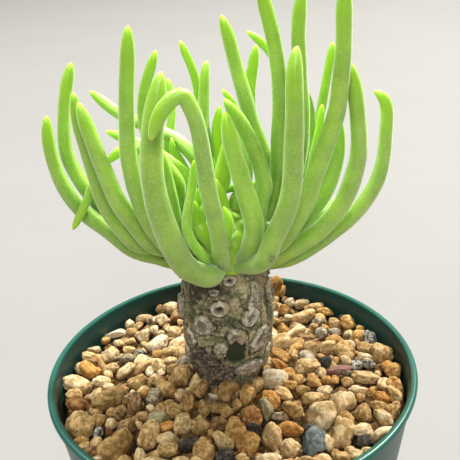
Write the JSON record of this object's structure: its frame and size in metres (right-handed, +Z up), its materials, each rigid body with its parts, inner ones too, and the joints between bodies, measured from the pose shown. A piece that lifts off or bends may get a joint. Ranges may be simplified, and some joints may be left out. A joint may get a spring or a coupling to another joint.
{
  "type": "potted succulent",
  "caption": "Caudiciform succulent with a swollen bark stem and curved finger-like leaves, standing in gravel in a round tapered plastic pot.",
  "frame": {"origin": "centre of the pot's foot ring, on the surface it stands on", "axes": "+Z up along the pot and the stem; -Y is the side that the picture shows, +X its right"},
  "size_m": [0.12, 0.12, 0.2223],
  "materials": {
    "pot_plastic": "satin",
    "gravel": "matte",
    "bark": "matte",
    "leaf": "satin"
  },
  "bodies": {
    "root": {"pot": "pot_plastic", "gravel": "gravel", "stem": "bark", "leaf_back_left_long": "leaf", "leaf_back_left_low": "leaf", "leaf_back_left_short": "leaf", "leaf_back_left_straight": "leaf", "leaf_back_left_tall": "leaf", "leaf_back_left_upright": "leaf", "leaf_back_middle_thin": "leaf", "leaf_back_middle_upright": "leaf", "leaf_back_right_hooked": "leaf", "leaf_back_right_upright": "leaf", "leaf_back_right_young": "leaf", "leaf_front_arched": "leaf", "leaf_front_broad": "leaf", "leaf_front_left_cupped": "leaf", "leaf_front_left_inner": "leaf", "leaf_front_middle": "leaf", "leaf_front_right_broad": "leaf", "leaf_heart_back_upright": "leaf", "leaf_heart_front": "leaf", "leaf_heart_leaning": "leaf", "leaf_heart_left": "leaf", "leaf_heart_left_front": "leaf", "leaf_heart_left_young": "leaf", "leaf_heart_middle": "leaf", "leaf_left_drooping": "leaf", "leaf_left_hooked": "leaf", "leaf_left_inner": "leaf", "leaf_left_lowest": "leaf", "leaf_left_outer_tall": "leaf", "leaf_left_twin_back": "leaf", "leaf_left_twin_front": "leaf", "leaf_left_upright": "leaf", "leaf_middle_slanting": "leaf", "leaf_middle_tall": "leaf", "leaf_middle_tucked": "leaf", "leaf_rear_left_inner": "leaf", "leaf_rear_left_outer": "leaf", "leaf_rear_left_upright": "leaf", "leaf_rear_middle": "leaf", "leaf_rear_middle_left": "leaf", "leaf_rear_middle_right": "leaf", "leaf_rear_right_inner": "leaf", "leaf_rear_right_outer": "leaf", "leaf_rear_right_upright": "leaf", "leaf_right_curved": "leaf", "leaf_right_curved_inner": "leaf", "leaf_right_inner": "leaf", "leaf_right_lowest": "leaf", "leaf_right_middle_tallest": "leaf", "leaf_right_straight": "leaf", "leaf_right_tallest": "leaf", "leaf_right_tucked": "leaf", "leaf_right_young": "leaf"}
  },
  "joints": []
}
